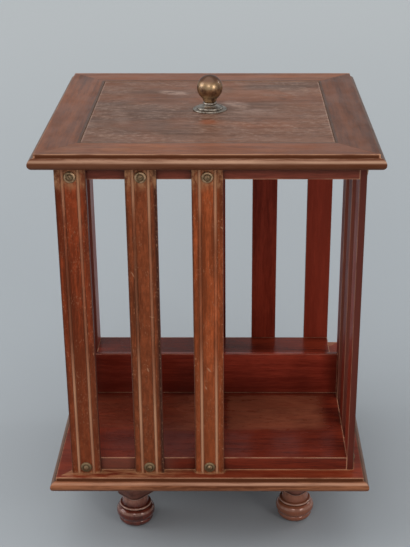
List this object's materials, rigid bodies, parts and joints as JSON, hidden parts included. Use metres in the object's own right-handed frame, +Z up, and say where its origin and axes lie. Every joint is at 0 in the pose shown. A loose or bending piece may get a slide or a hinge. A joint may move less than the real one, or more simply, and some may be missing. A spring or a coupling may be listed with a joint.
{
  "type": "revolving desktop bookcase",
  "caption": "Square open-slatted desktop bookcase with book compartments, a moulded top with a ball knob, turning on a cross base with turned bun feet.",
  "frame": {"origin": "on the floor under the feet, on the spindle's axis", "axes": "+Z up along the spindle, -Y towards the front, +X to the right"},
  "size_m": [0.35, 0.35, 0.509],
  "materials": {
    "mahogany_panel": "worn french polish",
    "mahogany_frame": "french polish",
    "mahogany_slat": "french polish",
    "mahogany_board": "french polish",
    "mahogany_stand": "french polish",
    "aged_brass": "polished, aged",
    "dull_metal": "dull, tarnished",
    "screw_brass": "aged",
    "bush_brass": "turned",
    "steel": "satin"
  },
  "bodies": {
    "stand": {"cross_bar_lower": "mahogany_stand", "cross_bar_upper": "mahogany_stand", "foot_back_left": "mahogany_stand", "foot_back_right": "mahogany_stand", "foot_front_left": "mahogany_stand", "foot_front_right": "mahogany_stand", "foot_nut": "steel", "foot_nut_washer": "steel", "pivot_block": "mahogany_stand", "retaining_nut": "steel", "retaining_washer": "steel", "spindle": "steel", "spindle_plate": "steel", "spindle_plate_screws": "steel", "thrust_washer": "bush_brass"},
    "case": {"base_board": "mahogany_board", "base_board_screws": "steel", "column": "mahogany_board", "divider_back": "mahogany_board", "divider_front": "mahogany_board", "divider_left": "mahogany_board", "divider_right": "mahogany_board", "knob_ball": "aged_brass", "knob_flange": "dull_metal", "knob_neck": "dull_metal", "knob_stud": "steel", "lower_bush": "bush_brass", "plinth_board": "mahogany_board", "slat_back_centre": "mahogany_slat", "slat_back_corner": "mahogany_slat", "slat_back_middle": "mahogany_slat", "slat_cup_washers": "screw_brass", "slat_front_centre": "mahogany_slat", "slat_front_corner": "mahogany_slat", "slat_front_middle": "mahogany_slat", "slat_left_centre": "mahogany_slat", "slat_left_corner": "mahogany_slat", "slat_left_middle": "mahogany_slat", "slat_right_centre": "mahogany_slat", "slat_right_corner": "mahogany_slat", "slat_right_middle": "mahogany_slat", "slat_screws": "screw_brass", "sub_top": "mahogany_board", "top_panel": "mahogany_panel", "top_rail_back": "mahogany_frame", "top_rail_front": "mahogany_frame", "top_rail_left": "mahogany_frame", "top_rail_right": "mahogany_frame", "top_screws": "steel", "upper_bush": "bush_brass"}
  },
  "joints": [
    {"name": "case_turn", "type": "hinge", "parent": "stand", "child": "case", "pos_m": [0, 0, 0.0862], "axis": [0, 0, 1], "continuous": true}
  ]
}
